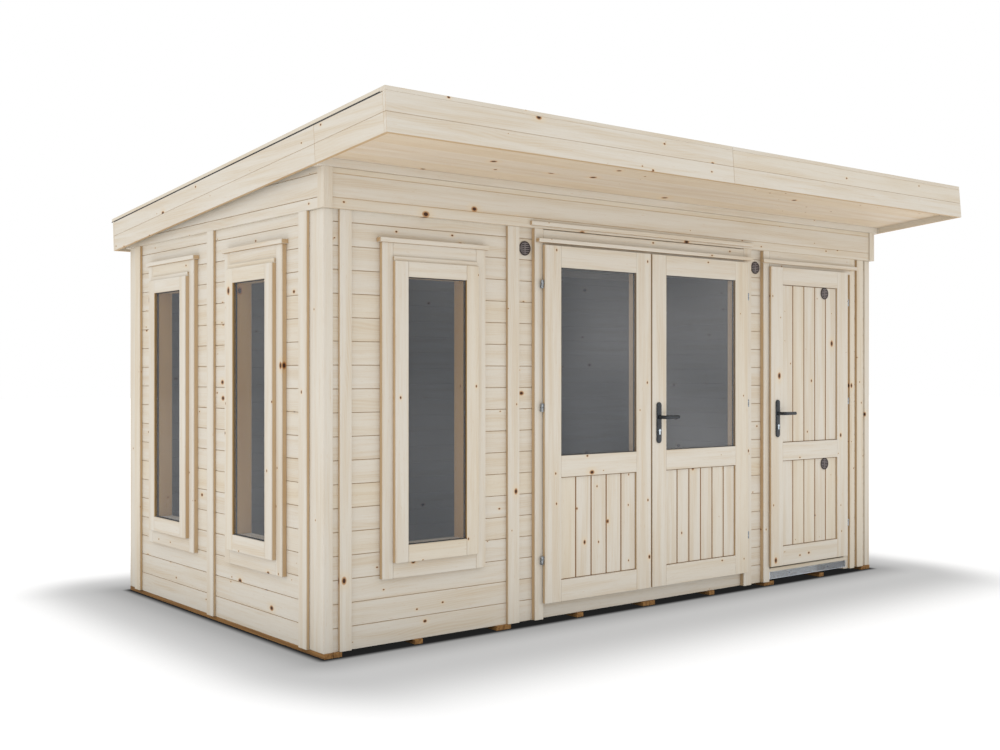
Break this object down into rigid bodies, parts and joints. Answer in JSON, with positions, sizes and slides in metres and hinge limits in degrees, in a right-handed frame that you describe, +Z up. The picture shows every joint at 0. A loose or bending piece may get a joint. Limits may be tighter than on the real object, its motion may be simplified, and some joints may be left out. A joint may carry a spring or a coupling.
{
  "type": "garden office pod",
  "caption": "Timber garden pod with a mono-pitch roof, a glazed double door, a boarded store door and tall narrow windows in its front and left walls.",
  "frame": {"origin": "on the ground, under the middle of the roof", "axes": "+X to the right along the front, +Y from the front to the rear, +Z up"},
  "size_m": [4.342, 3.0586, 2.4988],
  "materials": {
    "spruce": "planed, unfinished",
    "treated_timber": "sawn, pressure treated",
    "glass": "clear, dark behind",
    "hinge_steel": "zinc plated",
    "galvanised_steel": "galvanised",
    "vent_plastic": "moulded",
    "black_metal": "satin black",
    "roof_membrane": "matte sheet"
  },
  "bodies": {
    "pod": {"bearers": "treated_timber", "floor_joists": "treated_timber", "floor_boards": "spruce", "corner_posts": "spruce", "front_wall_left": "spruce", "front_wall_pier": "spruce", "front_wall_right": "spruce", "door_heads": "spruce", "left_wall": "spruce", "right_wall": "spruce", "rear_wall": "spruce", "headers": "spruce", "gables": "spruce", "corner_battens": "spruce", "head_batten": "spruce", "front_strips": "spruce", "side_strips": "spruce", "rear_strips": "spruce", "window_casings": "spruce", "window_sashes": "spruce", "window_glass": "glass", "rain_bars": "spruce", "door_casings": "spruce", "thresholds": "spruce", "sill_plate": "galvanised_steel", "frame_hinges": "hinge_steel", "wall_vents": "vent_plastic", "roof_ceiling": "spruce", "roof_rafters": "spruce", "roof_deck": "spruce", "roof_membrane": "roof_membrane", "front_fascia": "spruce", "side_fascias": "spruce", "rear_fascia": "spruce", "edge_trims": "spruce"},
    "left_leaf": {"left_leaf": "spruce", "left_leaf_glass": "glass", "left_leaf_hinges": "hinge_steel"},
    "right_leaf": {"right_leaf": "spruce", "right_leaf_glass": "glass", "right_leaf_hinges": "hinge_steel", "right_leaf_handle_plate": "black_metal"},
    "right_lever": {"right_leaf_lever": "black_metal"},
    "store_leaf": {"store_leaf": "spruce", "store_leaf_hinges": "hinge_steel", "store_leaf_vents": "vent_plastic", "store_leaf_handle_plate": "black_metal"},
    "store_lever": {"store_leaf_lever": "black_metal"}
  },
  "joints": [
    {"name": "left_leaf_hinge", "type": "hinge", "parent": "pod", "child": "left_leaf", "pos_m": [-0.818, -0.92934, 1.13], "axis": [0, 0, -1], "range_deg": [0, 105]},
    {"name": "right_leaf_hinge", "type": "hinge", "parent": "pod", "child": "right_leaf", "pos_m": [0.817, -0.92934, 1.13], "axis": [0, 0, 1], "range_deg": [0, 105]},
    {"name": "store_leaf_hinge", "type": "hinge", "parent": "pod", "child": "store_leaf", "pos_m": [1.817, -0.92934, 1.13], "axis": [0, 0, 1], "range_deg": [0, 105]},
    {"name": "right_lever_turn", "type": "hinge", "parent": "right_leaf", "child": "right_lever", "pos_m": [0.034, -0.94934, 1.063], "axis": [0, 1, 0], "range_deg": [0, 45], "stiffness_Nm_per_rad": 1, "springref_deg": -22.92},
    {"name": "store_lever_turn", "type": "hinge", "parent": "store_leaf", "child": "store_lever", "pos_m": [1.084, -0.94634, 1.063], "axis": [0, 1, 0], "range_deg": [0, 45], "stiffness_Nm_per_rad": 1, "springref_deg": -22.92}
  ]
}
